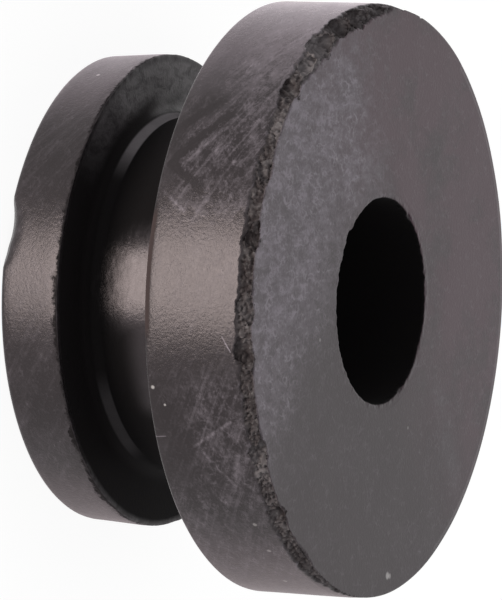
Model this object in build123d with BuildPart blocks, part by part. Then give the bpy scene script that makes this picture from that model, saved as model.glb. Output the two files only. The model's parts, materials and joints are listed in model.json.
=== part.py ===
"""Anti-vibration cap: a one-piece rubber moulding that snaps into a hole in a panel.

A thick flange and a thinner lip stand on one neck, with a bore down the middle. The edge
of the panel sits in the groove between them. The cap stands on the lip's end face, at
z = 0, with the thick flange and its bored face up.
"""

from build123d import *
from math import hypot, sqrt
import os

# Driving dimensions, in millimetres
flange_diameter = 24.0
flange_thickness = 4.6
groove_width = 5.1
neck_diameter = 14.3
lip_diameter = 19.25
lip_taper = 0.12  # all round, from the groove to the lip's end face
lip_thickness = 2.65
bore_diameter = 8.3

# Edges and corners
root_round = 0.7  # where the neck runs into the flange and into the lip
flange_back_bevel = 0.13
lip_lead_in = 0.18  # bevel that starts the lip through the panel's hole

# The cap was torn off its mould at the rim of the bored face, which left a steep band
torn_band_height = 0.55
torn_band_inset = 0.16

# Where the tear ran past the band it took bites out of the rim: the place of each in
# degrees round the axis from -Y towards +X, its reach across the face and down the side
bite_curve = 1.1
torn_bites = [
    (-83, 0.55, 0.45),
    (-74, 0.75, 0.55),
    (-66, 0.65, 0.70),
    (-58, 0.75, 0.75),
    (-51, 0.45, 0.60),
    (-43, 0.40, 0.75),
    (-24, 0.40, 0.60),
    (-11, 0.45, 0.60),
    (3, 0.40, 0.70),
    (11, 0.45, 0.90),
    (31, 0.45, 0.65),
    (46, 0.30, 0.70),
]

# Worn spots on the edge of the lip's end face: place, reach across the face and up the side
worn_curve = 4.0
worn_spots = [(-14, 0.5, 0.45)]

# Heights above the lip's end face
lip_top = lip_thickness
flange_bottom = lip_top + groove_width
total_height = flange_bottom + flange_thickness
torn_band_bottom = total_height - torn_band_height

flange_radius = flange_diameter / 2
neck_radius = neck_diameter / 2
lip_radius = lip_diameter / 2
lip_end_radius = lip_radius - lip_taper
bore_radius = bore_diameter / 2


def cut_scoops(scoops, edge_radius, edge_height, upwards, curve):
    """Scoop the corner off a round edge: upwards is 1 on a top edge and -1 on a bottom one."""
    for angle, reach_in, reach_along in scoops:
        chord = hypot(reach_in, reach_along)
        stand_off = sqrt(curve**2 - (chord / 2) ** 2)
        out = edge_radius - reach_in / 2 + stand_off * reach_along / chord
        up = upwards * (stand_off * reach_in / chord - reach_along / 2)
        with PolarLocations(out, 1, start_angle=angle - 90):
            with Locations((0, 0, edge_height + up)):
                # The ball's poles lie along the rim, clear of the cut
                Sphere(curve, rotation=(90, 0, 0), mode=Mode.SUBTRACT)


with BuildPart() as rubber_cap:
    # Half section, from the axis outwards, turned round the axis
    with BuildSketch(Plane.XZ) as half_section:
        with BuildLine():
            Polyline(
                (0, 0),
                (lip_end_radius, 0),
                (lip_radius, lip_top),
                (neck_radius, lip_top),
                (neck_radius, flange_bottom),
                (flange_radius, flange_bottom),
                (flange_radius, torn_band_bottom),
                (flange_radius - torn_band_inset, total_height),
                (0, total_height),
                close=True,
            )
        make_face()
        neck_corners = half_section.vertices().filter_by_position(
            Axis.X, neck_radius - 0.01, neck_radius + 0.01
        )
        fillet(neck_corners, radius=root_round)
        lip_end_corner = half_section.vertices().sort_by_distance((lip_end_radius, 0))[0]
        chamfer(lip_end_corner, length=lip_lead_in)
        flange_corners = half_section.vertices().group_by(Axis.X)[-1]
        chamfer(flange_corners.sort_by(Axis.Y)[0], length=flange_back_bevel)
    revolve(axis=Axis.Z)

    # The bore runs right through
    with Locations((0, 0, total_height)):
        Hole(bore_radius)

    cut_scoops(torn_bites, flange_radius, total_height, 1, bite_curve)
    cut_scoops(worn_spots, lip_end_radius, 0, -1, worn_curve)

rubber_cap.part.label = "rubber_cap"

os.makedirs("parts", exist_ok=True)
export_step(rubber_cap.part, "parts/rubber_cap.step")
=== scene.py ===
"""Looks of the anti-vibration cap: black moulded rubber, dusty, scuffed and torn at its rim.

The cap is modelled again as one fine mesh in place of the plain solid, with the torn band,
its crumbs and bites, and gets one rubber material. Lengths in the mesh and the material are
in millimetres, and the finished mesh is scaled to metres. Places round the cap's axis are in
degrees, from -Y at 0 towards +X.
"""

import bmesh
import bpy
import json
from math import atan2, cos, degrees, hypot, pi, radians, sin, sqrt
from mathutils import Matrix, Vector, noise


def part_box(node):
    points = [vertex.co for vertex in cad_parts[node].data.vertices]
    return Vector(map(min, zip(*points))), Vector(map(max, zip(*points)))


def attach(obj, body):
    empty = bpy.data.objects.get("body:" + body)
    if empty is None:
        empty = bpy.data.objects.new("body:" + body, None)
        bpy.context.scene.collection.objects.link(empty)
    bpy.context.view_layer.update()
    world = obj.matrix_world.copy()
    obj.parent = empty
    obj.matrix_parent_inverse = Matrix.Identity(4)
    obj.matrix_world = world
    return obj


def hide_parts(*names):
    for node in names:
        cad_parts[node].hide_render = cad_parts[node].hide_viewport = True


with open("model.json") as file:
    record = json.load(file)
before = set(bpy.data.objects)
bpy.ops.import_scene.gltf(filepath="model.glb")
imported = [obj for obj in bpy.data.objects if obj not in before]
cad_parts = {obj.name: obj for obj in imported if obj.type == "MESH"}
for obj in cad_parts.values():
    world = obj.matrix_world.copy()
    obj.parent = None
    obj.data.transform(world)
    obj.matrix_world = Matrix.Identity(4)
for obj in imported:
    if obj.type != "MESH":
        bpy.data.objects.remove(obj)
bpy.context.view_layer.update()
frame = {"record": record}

MM = 0.001
AXIS = Vector((0, 0, 1))

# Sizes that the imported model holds
cap_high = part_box("rubber_cap")[1]
mounts = {mount["name"]: mount for mount in frame["record"]["mounts"]}
total_height = cap_high[2] / MM
flange_radius = cap_high[0] / MM
bore_radius = mounts["bore"]["dims"]["r_mm"]
neck_radius = mounts["panel_groove"]["dims"]["r_mm"]
groove_width = mounts["panel_groove"]["dims"]["length_mm"]
groove_middle = mounts["panel_groove"]["pos_m"][2] / MM
lip_top = groove_middle - groove_width / 2
flange_bottom = groove_middle + groove_width / 2

# Sizes of the lip and the torn band as in the solid, and the rounds of the edges
lip_radius = 9.625
lip_end_radius = 9.505
torn_band_height = 0.55
torn_band_inset = 0.16
rim_radius = flange_radius - torn_band_inset
root_round = 0.7
flange_back_round = 0.13
lip_end_round = 0.22
lip_edge_round = 0.07
bore_mouth_round = 0.09
bore_foot_bevel = 0.15

# How finely the mesh is cut, and how far the finer stretches reach from their edges
steps_round = 360
fine_cuts = 3
torn_reach = 1.1
band_margin = 0.5
bore_mouth_reach = 0.5
lip_edge_reach = 0.4
torn_from, torn_to = -124, 121

# How much of the rim is torn, from 0 to 1, at places round it: the far side kept its edge
torn_shares = [(-180, 0.05), (-122, 0.05), (-98, 0.9), (60, 1), (82, 0.2), (120, 0.05), (180, 0.05)]

# Bites out of the torn rim, each a ball of one curve with a lumpy skin: place round the rim,
# reach across the face, reach along the side
bite_curve, bite_lumps = 1.1, 0.13
torn_bites = [
    (-83, 0.55, 0.45),
    (-74, 0.75, 0.55),
    (-66, 0.65, 0.70),
    (-58, 0.75, 0.75),
    (-51, 0.45, 0.60),
    (-43, 0.40, 0.70),
    (-24, 0.38, 0.58),
    (-11, 0.42, 0.58),
    (3, 0.38, 0.62),
    (11, 0.42, 0.72),
    (31, 0.42, 0.60),
    (46, 0.30, 0.62),
]

# The same for the worn spots on the lip's end and for the nicks round the bore's mouth
worn_curve = 4.0
worn_spots = [(-14, 0.5, 0.45), (-10.5, 0.38, 0.36)]
nick_curve, nick_lumps = 0.45, 0.05
bore_nicks = [(-37, 0.22, 0.3), (-125, 0.14, 0.18), (122, 0.12, 0.2), (29, 0.1, 0.2)]

# Where the tear runs widest over the face, and where its crumbs are shallow, as place and
# reach. Further down the side or further in than the last two, nothing is torn
face_tear = 0.06
wide_tear, wide_tear_extra = (-66, 24), 0.45
calm_tear, calm_loss = (-64, 22), 0.06
tear_slope = 0.07
hollow_depth = 0.15
clear_down, clear_radius = 1.6, 9.8

# Roughness of the bore's mouth, burrs on the lip's groove edge, and how far each reaches
mouth_roughness, mouth_rough_reach = 0.045, 0.25
burr_height, burr_reach = 0.06, 0.3

# Unevenness as smooth lumps: strength, size and the seed of their noise
bite_skin = [(1, 0.45, 14), (0.7, 0.2, 15)]
face_border = [(0.14, 1.1, 3), (0.12, 0.35, 8)]
side_border = [(0.1, 0.9, 5), (0.12, 0.3, 9)]
crumbs = [(0.75, 0.28, 11), (0.95, 0.13, 12)]
slow_crumbs = [(0.5, 0.8, 13)]
mouth_lumps = [(1, 0.35, 21), (0.6, 0.15, 22)]
long_burrs, short_burrs = [(1, 0.7, 31)], [(0.3, 0.3, 32)]
sagging = [(1, 2.5, 41)]

# Slow unevenness all over, and the lip's bulge: how high, its place and reach, and how far
# out from the neck it comes to its full height
sag_height = 0.012
lip_bulge, lip_bulge_at, lip_bulge_run = 0.1, (-80, 50), 2.5

# Colours of the rubber and of what lies on it, and colours that paint light and shade on it
black_rubber = (0.0145, 0.0122, 0.0131, 1)
rosy_rubber = (0.06, 0.0325, 0.043, 1)
# Grey of the bloom, also used for painted light and for the neck's painted highlight
bloom_and_light_grey = (0.203, 0.18, 0.207, 1)
white_speck = (0.42, 0.4, 0.4, 1)
# Painted highlight and painted light in the groove
groove_highlight_grey = (0.2, 0.184, 0.195, 1)
torn_dark = (0.036, 0.0305, 0.0315, 1)
torn_light = (0.15, 0.136, 0.142, 1)
# Painted glints on the torn crumbs, and painted shade in the torn hollows
torn_crumb_glint = (0.175, 0.165, 0.165, 1)
torn_hollow_shade = (0.025, 0.018, 0.0185, 1)
# Painted shade: a darker black for the groove and the bore, where shade falls; it also colours the
# dirt along the lip's groove edge
groove_shade_and_dirt_black = (0.0105, 0.009, 0.0096, 1)
# Painted shade: full black for the neck deep in the groove and for the bore
painted_shade_black = (0.0, 0.0, 0.0, 1)
# Painted shade: a dark brown line on the flange's rounded back edge
shaded_edge_brown = (0.045, 0.033, 0.033, 1)

# Where the torn rubber is lighter or darker than elsewhere: place, reach, strength
torn_tones = [
    (-54, 6, 0.9),
    (-35, 4, 0.3),
    (34, 4, 0.3),
    (-68, 6, -0.12),
    (-14, 4, -0.25),
    (-3, 4, -0.35),
    (16, 5, -0.3),
]

# Patches of the side where the bloom is thick: from one place to another, how softly they
# end, the heights between which they come up, and their strength. Heights below 0 leave a
# patch as strong all the way down
bloom_patches = [
    (-66, -47, 8, 8.6, 9.8, 1.0),
    (-32, -16, 4, 8.2, 9.0, 0.95),
    (20, 42, 8, 8.8, 10.2, 0.8),
    (44, 66, 8, -2.0, -1.0, 0.6),
    (-75, -30, 12, 8.6, 11.0, 1.1),
]

# Marks on the flange's side, as strokes between two places (degrees round, height), with
# their width and strength: above 0 a pale scuff, below 0 a smear that took the bloom off
side_strokes = [
    ((-35.5, 10.0), (-26.2, 8.35), 0.6, -0.5),
    ((-39.0, 9.4), (-32.0, 8.0), 0.5, -0.4),
    ((-24.6, 8.2), (-19.3, 9.7), 0.6, -0.5),
    ((-32.8, 10.1), (-24.6, 8.65), 0.2, 0.25),
    ((-18.8, 8.1), (-15.2, 9.1), 0.2, 0.35),
    ((8.0, 11.15), (9.3, 11.3), 0.08, 1.3),
    ((9.3, 11.3), (10.8, 11.5), 0.08, 1.3),
    ((28.4, 7.8), (28.2, 8.25), 0.07, 0.8),
    ((24.5, 11.2), (28.7, 9.85), 0.25, 0.4),
    ((28.7, 9.85), (30.2, 9.4), 0.2, 0.35),
    ((38.5, 10.8), (31.5, 9.8), 0.25, 0.35),
    ((32.0, 11.25), (36.5, 10.9), 0.4, 0.4),
]

# White specks of dirt on the side: place (degrees round, height), reach, strength
side_specks = [
    ((18.3, 8.0), 0.1, 0.7),
    ((21.7, 8.44), 0.07, 0.6),
    ((48.7, 11.0), 0.12, 0.35),
    ((57, 11.0), 0.12, 0.3),
    ((71, 10.5), 0.12, 0.35),
    ((-63.5, 1.25), 0.11, 0.6),
]

# The same for the bored face, with places as (x, y)
face_strokes = [
    ((-7.4, -3.35), (-7.2, -3.05), 0.1, 1.2),
    ((-0.05, -8.35), (0.1, -8.05), 0.12, 1.4),
    ((-4.4, -5.1), (-4.1, -4.75), 0.1, 0.8),
    ((-4.4, -3.35), (-4.2, -3.15), 0.09, 1.0),
    ((0.1, 4.9), (0.25, 5.2), 0.18, -2.5),
    ((3.75, 5.9), (7.3, 8.0), 2.2, 0.16),
]
face_specks = [
    ((-5.55, -4.78), 0.1, 0.45),
    ((1.65, -5.58), 0.1, 0.4),
    ((5.11, 3.11), 0.09, 0.3),
    ((-2.3, -6.4), 0.08, 0.35),
    ((11.12, 1.78), 0.2, 0.9),
    ((11.14, 2.0), 0.15, 0.6),
]

# Soft lamps: name, place round the axis, degrees up from the floor, distance, width and
# height in metres, brightness, colour
soft_lamps = [
    ("front_strip", -6.3, -26.2, 0.3, 0.192, 0.13, 12.3, (1.0, 0.93, 0.85)),
    ("side_strip", -139, -26.2, 0.3, 0.4, 0.2, 0.8, (1.0, 0.78, 0.9)),
    ("low_strip", 140, -26.2, 0.3, 0.3, 0.2, 0.25, (1.0, 0.4, 0.5)),
]


class Section:
    """A pen that draws the cap's half section as a chain of edges in the XZ plane."""

    def __init__(self, mesh, x, z):
        self.mesh = mesh
        self.start = self.tip = mesh.verts.new((x, 0, z))

    def _spin(self, steps, **turn):
        spun = bmesh.ops.spin(self.mesh, geom=[self.tip], steps=steps, **turn)
        self.tip = next(part for part in spun["geom_last"] if isinstance(part, bmesh.types.BMVert))

    def line(self, x, z, steps=1):
        """Draw a straight run to (x, z), cut into equal steps."""
        step = (Vector((x, 0, z)) - self.tip.co) / steps
        self._spin(steps, dvec=step, cent=self.tip.co.copy(), axis=AXIS, angle=0)

    def arc(self, x, z, turn, steps):
        """Draw an arc round (x, z), turning by a number of degrees from +X towards +Z."""
        self._spin(steps, cent=(x, 0, z), axis=(0, -1, 0), angle=radians(turn))

    def close(self):
        self.line(self.start.co.x, self.start.co.z)


def draw_half_section(mesh):
    """The section's outline, from the foot of the bore round to it again."""
    top, band_bottom = total_height, total_height - torn_band_height
    pen = Section(mesh, bore_radius, bore_foot_bevel)
    # Up the bore, over the face and down the flange's side
    pen.line(bore_radius, top - bore_mouth_reach, 4)
    pen.line(bore_radius, top - bore_mouth_round, 4)
    pen.arc(bore_radius + bore_mouth_round, top - bore_mouth_round, -90, 3)
    pen.line(bore_radius + bore_mouth_reach, top, 4)
    pen.line(rim_radius - torn_reach, top, 9)
    pen.line(rim_radius, top, 5)
    pen.line(flange_radius, band_bottom, 3)
    pen.line(flange_radius, band_bottom - band_margin, 2)
    pen.line(flange_radius, flange_bottom + flange_back_round, 5)
    pen.arc(flange_radius - flange_back_round, flange_bottom + flange_back_round, -90, 4)
    # Round the groove
    pen.line(neck_radius + root_round, flange_bottom, 4)
    pen.arc(neck_radius + root_round, flange_bottom - root_round, 90, 6)
    pen.line(neck_radius, lip_top + root_round, 4)
    pen.arc(neck_radius + root_round, lip_top + root_round, 90, 6)
    # Round the lip and back over its end
    pen.line(lip_radius - lip_edge_reach, lip_top, 3)
    pen.line(lip_radius - lip_edge_round, lip_top, 3)
    pen.arc(lip_radius - lip_edge_round, lip_top - lip_edge_round, -90, 3)
    pen.line(lip_radius, lip_top - lip_edge_reach, 3)
    pen.line(lip_end_radius, lip_end_round, 6)
    pen.arc(lip_end_radius - lip_end_round, lip_end_round, -90, 4)
    pen.line(bore_radius + bore_foot_bevel, 0, 5)
    pen.close()


def refine(mesh, cuts, inside):
    """Cut the faces whose middle (radius, place round, height) is inside finer, both ways."""
    chosen = set()
    for face in mesh.faces:
        middle = face.calc_center_median()
        if inside(*place_of(middle), middle.z):
            chosen.add(face)
    edges = [edge for edge in mesh.edges if not chosen.isdisjoint(edge.link_faces)]
    bmesh.ops.subdivide_edges(mesh, edges=edges, cuts=cuts, use_grid_fill=True)


def place_of(point):
    """A point's distance from the axis and its place round it."""
    return hypot(point.x, point.y), degrees(atan2(point.x, -point.y))


def ragged(point, lumps, folded=False):
    """The sum at a point of lumps of smooth noise. Folded ones only rise, from creases."""
    total = 0.0
    for strength, size, seed in lumps:
        level = noise.noise(point / size + Vector((seed, 2.7 * seed, -seed)))
        total += strength * (abs(level) if folded else level)
    return total


def fade(distance, reach):
    """1 at no distance, falling evenly to 0 at the reach."""
    return max(0, 1 - distance / reach)


def scoop_ball(scoop, edge_radius, edge_height, upwards, curve, outwards=1):
    """Centre and radius of the ball that scoops the corner off a round edge, as in the solid."""
    angle, reach_in, reach_along = scoop
    chord = hypot(reach_in, reach_along)
    stand_off = sqrt(curve**2 - (chord / 2) ** 2)
    out = edge_radius + outwards * (stand_off * reach_along / chord - reach_in / 2)
    up = upwards * (stand_off * reach_in / chord - reach_along / 2)
    turn = radians(angle)
    return Vector((out * sin(turn), -out * cos(turn), edge_height + up)), curve


def cut_scoops(mesh, balls, lumpiness=0.0):
    """Push what lies inside a ball out to its surface, and return what was pushed.

    Each ball's skin is lumpy by the given amount, so that its edge is ragged too.
    """
    pushed = set()
    for vertex in mesh.verts:
        for centre, radius in balls:
            away = vertex.co - centre
            if away.length < radius + lumpiness:
                skin = radius + lumpiness * (ragged(vertex.co, bite_skin) - 0.4)
                if away.length < skin:
                    vertex.co = centre + away.normalized() * skin
                    pushed.add(vertex)
    return pushed


def torn_share(angle):
    """How much of the torn band there is at a place round the rim."""
    for (low, before), (high, after) in zip(torn_shares, torn_shares[1:]):
        if angle <= high:
            return before + (after - before) * (angle - low) / (high - low)


def tear_depth(point):
    """How deep inside the tear a point of the rim is: above 0 in it, below 0 clear of it."""
    radius, angle = place_of(point)
    down = total_height - point.z
    rim = Vector((point.x, point.y, 0)) * (flange_radius / max(radius, 1))
    missing = 0.5 * (1 - torn_share(angle))
    on_face = down < 0.02
    if on_face:
        middle, reach = wide_tear
        torn_across = face_tear + ragged(rim, face_border)
        torn_across += wide_tear_extra * min(1, 2.5 * fade(abs(angle - middle), reach))
        return torn_across - (rim_radius - radius) - missing
    return torn_band_height + ragged(rim, side_border) - down - missing


def keep_whole_rim(mesh):
    """Push the band out to the flange's side again where the rim isn't torn."""
    for vertex in mesh.verts:
        radius, angle = place_of(vertex.co)
        up_band = 1 - (total_height - vertex.co.z) / torn_band_height
        over_face = 1 - (rim_radius - radius) / torn_reach
        near_rim = min(max(0, up_band), max(0, over_face))
        kept = (1 - torn_share(angle)) * torn_band_inset * near_rim
        vertex.co.xy *= 1 + min(kept, flange_radius - radius) / radius


def tear(mesh):
    """Crumble the torn band, and keep in attributes where it is torn and where it is deep."""
    torn = mesh.verts.layers.float.new("torn")
    pit = mesh.verts.layers.float.new("pit")
    bites = [scoop_ball(bite, flange_radius, total_height, 1, bite_curve) for bite in torn_bites]
    bitten = cut_scoops(mesh, bites, bite_lumps)
    keep_whole_rim(mesh)
    mesh.normal_update()
    calm_place, calm_reach = calm_tear
    for vertex in mesh.verts:
        radius, angle = place_of(vertex.co)
        if vertex.co.z < total_height - clear_down or radius < clear_radius:
            continue
        amount = 1 if vertex in bitten else min(1, max(0, tear_depth(vertex.co) / tear_slope))
        if amount > 0:
            hollow = fade(1.9 * ragged(vertex.co, crumbs, folded=True), 1)
            slow = 0.5 + ragged(vertex.co, slow_crumbs)
            calm = fade(abs(angle - calm_place), calm_reach)
            depth = 0.01 + (hollow_depth - calm_loss * calm) * hollow + 0.05 * slow
            vertex.co -= vertex.normal * depth * amount
            vertex[pit] = hollow * amount
        vertex[torn] = amount


def wear_edges(mesh):
    """Nicks round the bore's mouth, the worn spot on the lip, and burrs along its groove edge."""
    nicks = [scoop_ball(nick, bore_radius, total_height, 1, nick_curve, -1) for nick in bore_nicks]
    spots = [scoop_ball(spot, lip_end_radius, 0, -1, worn_curve) for spot in worn_spots]
    cut_scoops(mesh, nicks, nick_lumps)
    cut_scoops(mesh, spots)
    mesh.normal_update()
    for vertex in mesh.verts:
        radius = hypot(vertex.co.x, vertex.co.y)
        from_mouth = hypot(radius - bore_radius, vertex.co.z - total_height)
        near_mouth = fade(from_mouth, mouth_rough_reach)
        if near_mouth > 0:
            rough = ragged(vertex.co, mouth_lumps)
            vertex.co += vertex.normal * mouth_roughness * rough * near_mouth
        from_lip_edge = hypot(radius - lip_radius, vertex.co.z - lip_top)
        near_lip_edge = fade(from_lip_edge, burr_reach)
        if near_lip_edge > 0:
            burr = max(0, ragged(vertex.co, long_burrs) - 0.2) + ragged(vertex.co, short_burrs)
            vertex.co += vertex.normal * burr_height * burr * near_lip_edge


def sag(mesh):
    """Rubber is never quite flat or round: a few hundredths of slow rise and fall."""
    bulge_place, bulge_reach = lip_bulge_at
    for vertex in mesh.verts:
        radius, angle = place_of(vertex.co)
        if vertex.co.z < lip_top + 0.3 and radius > neck_radius + root_round:
            bulge = lip_bulge * fade(abs(angle - bulge_place), bulge_reach)
            bulge = bulge * (radius - neck_radius) / lip_bulge_run
            vertex.co.xy *= 1 + bulge / radius
    mesh.normal_update()
    for vertex in mesh.verts:
        if bore_radius + 0.3 < hypot(vertex.co.x, vertex.co.y) and vertex.co.z > 0.4:
            vertex.co += vertex.normal * sag_height * ragged(vertex.co, sagging)


def make_cap():
    """The whole moulding as one mesh, which takes the plain solid's place."""
    mesh = bmesh.new()
    draw_half_section(mesh)
    outline = mesh.verts[:] + mesh.edges[:]
    bmesh.ops.spin(
        mesh, geom=outline, cent=(0, 0, 0), axis=AXIS, angle=2 * pi, steps=steps_round,
        use_merge=True,
    )
    bmesh.ops.remove_doubles(mesh, verts=mesh.verts[:], dist=0.0005)
    bmesh.ops.recalc_face_normals(mesh, faces=mesh.faces[:])

    def in_torn_band(radius, angle, height):
        high = height > total_height - torn_band_height - band_margin
        return high and radius > rim_radius - torn_reach and torn_from < angle < torn_to

    def near_lip_edge(radius, angle, height):
        return radius > lip_radius - lip_edge_reach and abs(height - lip_top) < lip_edge_reach

    def near_bore_mouth(radius, angle, height):
        return hypot(radius - bore_radius, height - total_height) < bore_mouth_reach

    refine(mesh, fine_cuts, in_torn_band)
    refine(mesh, 1, near_lip_edge)
    refine(mesh, 1, near_bore_mouth)
    tear(mesh)
    wear_edges(mesh)
    sag(mesh)
    bmesh.ops.scale(mesh, vec=(MM, MM, MM), verts=mesh.verts[:])
    for face in mesh.faces:
        face.smooth = True
    data = bpy.data.meshes.new("cap_moulding")
    mesh.to_mesh(data)
    mesh.free()
    cap = bpy.data.objects.new("cap_moulding", data)
    bpy.context.collection.objects.link(cap)
    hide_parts("rubber_cap")
    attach(cap, "root")
    return cap


class Wire:
    """A shader socket, so that shader maths reads as plain maths."""

    def __init__(self, nodes, socket):
        self.nodes, self.socket = nodes, socket

    def output(self, index):
        return Wire(self.nodes, self.socket.node.outputs[index])

    def maths(self, operation, *others):
        return self.nodes.add("ShaderNodeMath", {"operation": operation}, self, *others)

    def at_least(self, other):
        return self.maths("MAXIMUM", other)

    def __add__(self, other):
        return self.maths("ADD", other)

    def __sub__(self, other):
        return self.maths("SUBTRACT", other)

    def __mul__(self, other):
        return self.maths("MULTIPLY", other)

    def __truediv__(self, other):
        return self.maths("DIVIDE", other)

    def __rsub__(self, other):
        return self.nodes.add("ShaderNodeMath", {"operation": "SUBTRACT"}, other, self)

    __radd__, __rmul__ = __add__, __mul__


class Nodes:
    """The node tree of one material, or of the world."""

    def __init__(self, owner):
        owner.use_nodes = True
        self.tree = owner.node_tree
        self.tree.nodes.clear()

    def add(self, kind, settings=None, *values, output=0, **named):
        """Add a node: its settings first, then its sockets by place or by name."""
        node = self.tree.nodes.new(kind)
        for name, value in (settings or {}).items():
            setattr(node, name, value)
        sockets = list(zip(node.inputs, values))
        sockets += [(node.inputs[name.replace("_", " ")], value) for name, value in named.items()]
        for socket, value in sockets:
            if isinstance(value, Wire):
                self.tree.links.new(value.socket, socket)
            elif value is not None:
                socket.default_value = value
        return Wire(self, node.outputs[output]) if node.outputs else node

    def vector(self, operation, *values, output=0, **named):
        settings = {"operation": operation}
        return self.add("ShaderNodeVectorMath", settings, *values, output=output, **named)

    def attribute(self, name):
        return self.add("ShaderNodeAttribute", {"attribute_name": name}, output=2)

    def clamp(self, value):
        """A value kept between 0 and 1."""
        return self.add("ShaderNodeClamp", {}, value)

    def ramp(self, value, low, high, bottom=0.0, top=1.0):
        """A smooth step from bottom to top as the value goes from low to high."""
        settings = {"interpolation_type": "SMOOTHSTEP"}
        return self.add("ShaderNodeMapRange", settings, value, low, high, bottom, top)

    def between(self, value, low, high, soft):
        """1 from low to high, fading over a soft stretch outside them."""
        return self.ramp(value, low - soft, low) * self.ramp(value, high + soft, high)

    def noise(self, place, scale, detail=2.0, roughness=0.5, distortion=0.0):
        return self.add(
            "ShaderNodeTexNoise", {"noise_dimensions": "3D"}, Vector=place, Scale=scale,
            Detail=detail, Roughness=roughness, Distortion=distortion,
        )

    def mix(self, factor, first, second):
        """One colour turning into another."""
        skip = [None] * 5
        settings = {"data_type": "RGBA"}
        return self.add("ShaderNodeMix", settings, factor, *skip, first, second, output=2)

    def stretch(self, place, amount):
        return self.add("ShaderNodeMapping", {}, Vector=place, Scale=amount)

    def twist(self, place, turn):
        """A place turned round the axis by so many degrees for each millimetre of height."""
        z = self.add("ShaderNodeSeparateXYZ", {}, place, output=2)
        settings = {"rotation_type": "Z_AXIS"}
        return self.add("ShaderNodeVectorRotate", settings, Vector=place, Angle=z * radians(turn))

    def hairs(self, place, scale, width):
        """Thin winding lines, where a smooth noise passes through its middle value."""
        away = (self.noise(place, scale, 1.0) - 0.5).maths("ABSOLUTE")
        return self.ramp(away, width, 0.0)

    def spot(self, place, centre, reach):
        """1 at a place, fading to 0 at a distance from it."""
        centre = Vector((*centre, 0))
        away = self.vector("DISTANCE", place, centre, output=1)
        return self.ramp(away, reach, reach * 0.4)

    def stroke(self, place, start, end, width):
        """1 along a straight stroke, fading to 0 at half its width from its middle line."""
        start, end = Vector((*start, 0)), Vector((*end, 0))
        run = end - start
        from_start = self.vector("SUBTRACT", place, start)
        along = self.vector("DOT_PRODUCT", from_start, run, output=1) / run.length_squared
        foot = self.vector("SCALE", run, Scale=self.clamp(along))
        away = self.vector("DISTANCE", from_start, foot, output=1)
        return self.ramp(away, width / 2, 0.0)


class Zones:
    """Where on the cap a point is, and masks that are 1 in one region of its surface."""

    def __init__(self, nodes):
        place = nodes.add("ShaderNodeTexCoord", output=3)
        place = nodes.vector("SCALE", place, Scale=1 / MM)
        parts = nodes.add("ShaderNodeSeparateXYZ", {}, place)
        x, y, z = parts, parts.output(1), parts.output(2)
        radius = (x * x + y * y).maths("SQRT")
        round_axis = x.maths("ARCTAN2", 0 - y) * (180 / pi)
        self.place, self.x, self.y, self.z = place, x, y, z
        self.radius, self.round_axis = radius, round_axis
        self.torn, self.pit = nodes.attribute("torn"), nodes.attribute("pit")

        # The side rolled out flat, and the face seen from above
        along_side = round_axis * radians(flange_radius)
        self.unrolled = nodes.add("ShaderNodeCombineXYZ", {}, along_side, z)
        self.flat = nodes.add("ShaderNodeCombineXYZ", {}, x, y)

        self.face = nodes.ramp(z, total_height - 0.1, total_height - 0.02)
        self.side = 1 - self.face
        self.lip = nodes.ramp(z, lip_top + 0.3, lip_top)
        in_groove = nodes.ramp(radius, lip_radius - 0.06, lip_radius - 0.3)
        self.in_groove = in_groove * nodes.between(z, lip_top - 0.05, flange_bottom + 0.05, 0.06)
        self.in_bore = nodes.ramp(radius, bore_radius + 0.07, bore_radius + 0.02)
        self.neck = nodes.ramp(radius, neck_radius + 0.4, neck_radius + 0.1) * self.in_groove
        # Painted shade on the flange's rounded back edge, only between -13 and 6 degrees round,
        # beside the front lamp's highlight
        back_edge = nodes.between(z, flange_bottom - 0.1, flange_bottom + 0.17, 0.15)
        back_edge = back_edge * nodes.ramp(radius, flange_radius - 0.25, flange_radius - 0.1)
        self.back_edge = back_edge * nodes.between(round_axis, -13, 6, 5)


class Patterns:
    """Noise over the cap, from slow clouds to fine grain, and hair scratches."""

    def __init__(self, nodes, at):
        place, wiped = at.place, nodes.stretch(at.place, (1, 0.5, 1))
        self.cloud = nodes.noise(place, 0.35, 3, 0.55)
        self.mottle = nodes.noise(wiped, 2.0, 5, 0.7, 0.5)
        self.grain = nodes.noise(place, 8.0, 3, 0.65)
        smeared = nodes.stretch(nodes.twist(place, 9), (1, 1, 0.25))
        self.smear = nodes.noise(smeared, 2.2, 4, 0.6)
        scratch = nodes.hairs(nodes.twist(place, 14), 1.7, 0.045)
        scratch = scratch + nodes.hairs(nodes.twist(place, -11), 1.3, 0.04)
        scratch = scratch + nodes.hairs(wiped, 3.2, 0.06)
        self.scratch = scratch * nodes.ramp(nodes.noise(wiped, 2.6, 2), 0.4, 0.68)
        self.streaks = nodes.noise(nodes.stretch(at.unrolled, (0.45, 2.0, 1)), 2.6, 4, 0.7)


def unroll(place):
    """A place (degrees round, height) on the flange's side rolled out flat."""
    turn, height = place
    return radians(turn) * flange_radius, height


def placed_marks(nodes, at):
    """The scuffs and smears, and the white specks, that have places of their own."""
    marks, face_marks, specks, face_dirt = 0.0, 0.0, 0.0, 0.0
    for start, end, width, strength in side_strokes:
        stroke = nodes.stroke(at.unrolled, unroll(start), unroll(end), width)
        marks = stroke * strength + marks
    for start, end, width, strength in face_strokes:
        face_marks = nodes.stroke(at.flat, start, end, width) * strength + face_marks
    for centre, reach, strength in side_specks:
        specks = nodes.spot(at.unrolled, unroll(centre), reach) * strength + specks
    for centre, reach, strength in face_specks:
        face_dirt = nodes.spot(at.flat, centre, reach) * strength + face_dirt
    marks = marks * nodes.ramp(at.radius, flange_radius - 0.5, flange_radius - 0.3)
    specks = specks * (1 - at.in_bore) * at.side
    return marks + face_marks * at.face, specks + face_dirt * at.face


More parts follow.
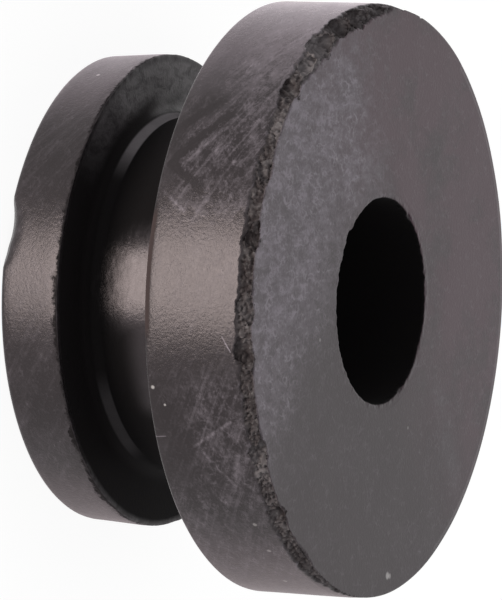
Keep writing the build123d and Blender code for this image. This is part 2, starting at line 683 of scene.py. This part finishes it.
def painted_groove_light(nodes, at, pattern):
    """Painted highlights on the fillet at the neck's root, in an arc round its -X side and a faint
    one round its +X side, and painted light, mottled, on the lip's wall round its -X side.
    """
    root = nodes.between(at.z, lip_top + 0.27, lip_top + 0.58, 0.08) * at.in_groove
    lit = nodes.between(at.round_axis, -80, -57, 21)
    lit = lit + nodes.between(at.round_axis, 40, 58, 14) * 0.2
    wall = nodes.between(at.round_axis, -145, -50, 24) * nodes.ramp(at.radius, 7.7, 8.5)
    wall = wall * at.lip * at.in_groove * nodes.ramp(pattern.mottle, 0.2, 0.7)
    return root * lit * (0.7 + pattern.mottle * 0.5) + wall * 0.5


def neck_gloss_and_highlight(nodes, at, pattern):
    """The streaky patch of the neck and a fainter one beyond it, which are glossy and also
    lightened in colour as a painted highlight.
    """
    uneven = (pattern.streaks - 0.5) * 1.3 + (pattern.mottle - 0.5) * 0.7
    bowed = at.z - at.round_axis * at.round_axis * 0.0018
    patch = nodes.ramp(bowed + uneven * 0.8, 2.95, 4.85)
    turned = at.round_axis + uneven * 6
    patch = patch * nodes.ramp(turned, -26, -12) * nodes.ramp(turned, 19, 9)
    patch = patch * (0.87 + uneven * 0.3)
    beyond = nodes.ramp(at.z, 4.0, 5.2) * nodes.between(at.round_axis, 10, 38, 10) * 0.75
    return patch.at_least(beyond) * at.neck


def dirty_edge(nodes, at, pattern):
    """Dirt along the groove edge of the lip, with a ragged border."""
    border = at.z + (pattern.grain * 0.6 + pattern.mottle + pattern.cloud - 1.3) * 0.6
    dirt = nodes.ramp(border, lip_top - 0.2, lip_top - 0.05)
    dirt = dirt * nodes.ramp(at.z, lip_top, lip_top - 0.05)
    return dirt * nodes.ramp(at.radius, lip_radius - 0.2, lip_radius - 0.1)


def shiny_wall(nodes, at, pattern):
    """How smooth the lip's wall is in the groove, round its -X side."""
    shine = nodes.ramp(at.round_axis, -66, -82).at_least(nodes.ramp(at.radius, 7.5, 8.4))
    shine = shine * nodes.between(at.round_axis, -130, -62, 40) * (1 - at.neck)
    return shine * nodes.ramp(pattern.mottle, 0.3, 0.62, 0.5, 1.05)


def bloom(nodes, at, pattern):
    """The grey bloom, thick on the handled part of the face and in patches of the side, with
    painted light: the face lightened evenly over that part, and the side round its -X side.
    """
    face, side, lip = at.face, at.side, at.lip
    slow = pattern.cloud + pattern.mottle * 0.5
    slant = at.round_axis - (at.radius - 7) * 3 + (slow - 0.75) * 45
    on_face = nodes.between(slant, -56, -6, 42) * nodes.ramp(at.radius, 2.5, 7.5)
    patches = 0.0
    for start, end, soft, low, high, strength in bloom_patches:
        patch = nodes.between(at.round_axis, start, end, soft) * nodes.ramp(at.z, low, high)
        patches = (patch * strength).at_least(patches)
    patches = patches * (1 - lip * 0.8) + 0.16
    handled = nodes.add("ShaderNodeMix", {"data_type": "FLOAT"}, face, None, patches, on_face)

    dust_and_light = handled * nodes.ramp(pattern.mottle, 0.36, 0.68) * (0.2 + face * 0.38)
    # Painted light: an even lightening over this part of the face
    dust_and_light = dust_and_light + on_face * face * 0.34
    dust_and_light = dust_and_light + nodes.ramp(pattern.cloud, 0.4, 0.65) * (0.04 + face * 0.02)
    dust_and_light = dust_and_light + side * nodes.ramp(pattern.smear, 0.45, 0.78) * (0.04 + handled * 0.16)
    # Painted light: the side lightened round its -X side
    dust_and_light = dust_and_light + nodes.between(at.round_axis, -85, -50, 14) * side * (1 - lip * 0.7) * 0.14
    grainy = handled * (0.18 + face * 0.3) + 0.07 + face * 0.05
    dust_and_light = dust_and_light + (nodes.ramp(pattern.grain, 0.45, 0.8) - 0.3) * grainy
    scratched = pattern.scratch * (handled * (0.1 + face * 0.3) + 0.03 + face * 0.05)
    return dust_and_light, scratched


def rosy_face(nodes, at, pattern):
    """Where the bored face has a rosy tinge: in clouds, and most at its far end."""
    far = nodes.ramp(at.y - at.x * 0.9, -4, 9)
    clouds = nodes.ramp(pattern.cloud + pattern.mottle * 0.5, 1.05, 0.6)
    return at.face * (far * clouds * 0.95 + 0.2)


def torn_colour(nodes, at):
    """Torn rubber in patchy tones, with painted glints on its crumbs and painted shade in its
    hollows.
    """
    tone = nodes.ramp(nodes.noise(at.place, 1.1, 2), 0.37, 0.62) * 0.38 + 0.08
    for turn, reach, strength in torn_tones:
        low, high = turn - reach / 2, turn + reach / 2
        tone = nodes.between(at.round_axis, low, high, reach) * strength + tone
    tone = nodes.clamp(tone)
    crumb_glints = nodes.ramp(nodes.noise(at.place, 7.5, 3, 0.7), 0.48, 0.72) * (1 - at.pit)
    colour = nodes.mix(tone, torn_dark, torn_light)
    colour = nodes.mix(crumb_glints * (0.4 + tone * 0.4), colour, torn_crumb_glint)
    return nodes.mix(at.pit * (0.8 - tone * 0.3), colour, torn_hollow_shade)


def paint_rubber():
    """One rubber: smooth and bloomed outside, matt where it is torn and in groove and bore, with
    painted shade, painted highlights and painted light mixed into its colours.
    """
    rubber = bpy.data.materials.new("cap_rubber")
    nodes = Nodes(rubber)
    at = Zones(nodes)
    pattern = Patterns(nodes, at)
    face, side, lip, neck, in_groove = at.face, at.side, at.lip, at.neck, at.in_groove
    grain, mottle = pattern.grain, pattern.mottle
    marks, specks = placed_marks(nodes, at)
    groove_light = painted_groove_light(nodes, at, pattern)
    gloss_and_highlight = neck_gloss_and_highlight(nodes, at, pattern)
    dirt = dirty_edge(nodes, at, pattern)
    haze_and_light, scratched = bloom(nodes, at, pattern)

    # Bloom and scuffs, with painted light on the face and side
    dust_and_light = haze_and_light + scratched + marks * nodes.ramp(mottle, 0.25, 0.6) * 0.75
    outside = (1 - in_groove * 0.85) * (1 - at.in_bore) * (1 - at.torn)
    # The neck's patch is lightened in colour as a painted highlight
    grey = nodes.clamp(dust_and_light * outside + gloss_and_highlight * mottle * 0.2)
    colour = nodes.mix(rosy_face(nodes, at, pattern), black_rubber, rosy_rubber)
    colour = nodes.mix(grey, colour, bloom_and_light_grey)
    colour = nodes.mix(specks, colour, white_speck)
    # Painted highlights on the root fillet and painted light on the lip's wall
    colour = nodes.mix(groove_light, colour, groove_highlight_grey)
    colour = nodes.mix(at.torn, colour, torn_colour(nodes, at))

    roughness = 0.25 + face * 0.12 + haze_and_light * outside * 0.17 + lip * 0.03 - neck * 0.05
    roughness = roughness + lip * nodes.between(at.round_axis, -150, -75, 25) * 0.08
    roughness = roughness + side * nodes.between(at.round_axis, 75, 135, 40) * 0.12
    height = (grain - 0.5) * 0.018 + (mottle - 0.5) * 0.01 + pattern.scratch * 0.002
    height = height * (1 - neck * 0.4) * (1 - face * 0.2) + pattern.streaks * neck * 0.006
    bump = nodes.add("ShaderNodeBump", {}, Strength=0.6, Distance=MM, Height=height)
    smooth = nodes.add(
        "ShaderNodeBsdfPrincipled", {}, Base_Color=colour, Roughness=roughness, Normal=bump,
        Specular_IOR_Level=0.32, Specular_Tint=(1.0, 0.88, 0.92, 1),
    )

    # Painted shade: the groove and the bore are darkened in colour
    matt_colour = nodes.mix(nodes.clamp(in_groove + at.in_bore), colour, groove_shade_and_dirt_black)
    # Painted shade: the neck and the bore go halfway to full black
    matt_colour = nodes.mix((at.in_bore + neck) * 0.5, matt_colour, painted_shade_black)
    # Painted highlights on the root fillet and painted light on the lip's wall, in the matt colours
    # too
    matt_colour = nodes.mix(groove_light, matt_colour, groove_highlight_grey)
    matt_colour = nodes.mix(dirt, matt_colour, groove_shade_and_dirt_black)
    # Painted shade on the flange's back edge
    matt_colour = nodes.mix(at.back_edge, matt_colour, shaded_edge_brown)
    matt = nodes.add(
        "ShaderNodeBsdfPrincipled", {}, Base_Color=matt_colour, Roughness=0.8, Normal=bump,
        Specular_IOR_Level=0.06,
    )

    dull = in_groove * (1 - gloss_and_highlight) * (1 - shiny_wall(nodes, at, pattern)) * 0.95
    dull = dull + at.back_edge + dirt * 0.8 + at.in_bore + at.torn * 0.8
    dull = dull + side * (1 - in_groove) * ((grain - 0.5) * 0.6 + (mottle - 0.5) * 0.4 + 0.1)
    shader = nodes.add("ShaderNodeMixShader", {}, nodes.clamp(dull), smooth, matt)
    nodes.add("ShaderNodeOutputMaterial", {}, Surface=shader)
    return rubber


def make_floor():
    """A white floor that shows the cap's soft shadow and lets the light pass from below."""
    mesh = bmesh.new()
    bmesh.ops.create_grid(mesh, x_segments=1, y_segments=1, size=3.0)
    data = bpy.data.meshes.new("floor")
    mesh.to_mesh(data)
    mesh.free()
    floor = bpy.data.objects.new("floor", data)
    bpy.context.collection.objects.link(floor)
    paper = bpy.data.materials.new("floor_paper")
    nodes = Nodes(paper)
    white = nodes.add("ShaderNodeEmission", {}, Color=(1, 1, 1, 1), Strength=1.13)
    matt = nodes.add("ShaderNodeBsdfDiffuse", {}, Color=(0.9, 0.9, 0.9, 1))
    surface = nodes.add("ShaderNodeMixShader", {}, 0.2, white, matt)
    nodes.add("ShaderNodeOutputMaterial", {}, Surface=surface)
    data.materials.append(paper)
    floor.visible_diffuse = False
    floor.visible_glossy = False
    floor.visible_shadow = False


def light_tent():
    """Even white light from all round, in front of a backdrop that looks plain white."""
    world = bpy.data.worlds.new("light_tent")
    bpy.context.scene.world = world
    nodes = Nodes(world)
    camera_ray = nodes.add("ShaderNodeLightPath")
    glossy_ray, transmission_ray = camera_ray.output(3), camera_ray.output(6)
    backdrop = camera_ray.at_least(glossy_ray).at_least(transmission_ray)
    tent = nodes.add("ShaderNodeBackground", {}, Color=(1, 1, 1, 1), Strength=0.6 + backdrop * 0.4)
    nodes.add("ShaderNodeOutputWorld", {}, Surface=tent)


def softbox(name, azimuth, elevation, distance, width, height, brightness, colour):
    """A soft lamp that faces the middle of the cap's groove."""
    turn, lift = radians(azimuth), radians(elevation)
    toward = Vector((cos(lift) * sin(turn), -cos(lift) * cos(turn), sin(lift)))
    lamp = bpy.data.lights.new(name, "AREA")
    lamp.shape = "RECTANGLE"
    lamp.size, lamp.size_y = width, height
    lamp.energy = brightness * pi * width * height
    lamp.color = colour
    holder = bpy.data.objects.new(name, lamp)
    bpy.context.collection.objects.link(holder)
    holder.location = Vector((0, 0, groove_middle * MM)) + toward * distance
    holder.rotation_euler = toward.to_track_quat("Z", "Y").to_euler()


def aim_camera():
    """The photograph's view: from in front and above, turned so that the axis lies level."""
    lift, roll = radians(26.18), radians(92.63)
    aim, distance = Vector((0.195, 0, 6.49)) * MM, 260.7 * MM
    back = Vector((0, -cos(lift), sin(lift)))
    level = Vector((1, 0, 0))
    right = level * cos(roll) + back.cross(level) * sin(roll)
    up = back.cross(right)
    camera = bpy.data.cameras.new("camera")
    camera.lens = 384.0
    camera.clip_start, camera.clip_end = 0.01, 10
    holder = bpy.data.objects.new("camera", camera)
    bpy.context.collection.objects.link(holder)
    turn = Matrix((right, up, back)).transposed().to_4x4()
    holder.matrix_world = Matrix.Translation(aim + back * distance) @ turn
    bpy.context.scene.camera = holder


cap = make_cap()
cap.data.materials.append(paint_rubber())
make_floor()
light_tent()
for lamp in soft_lamps:
    softbox(*lamp)
aim_camera()
bpy.context.scene.view_settings.view_transform = "Standard"
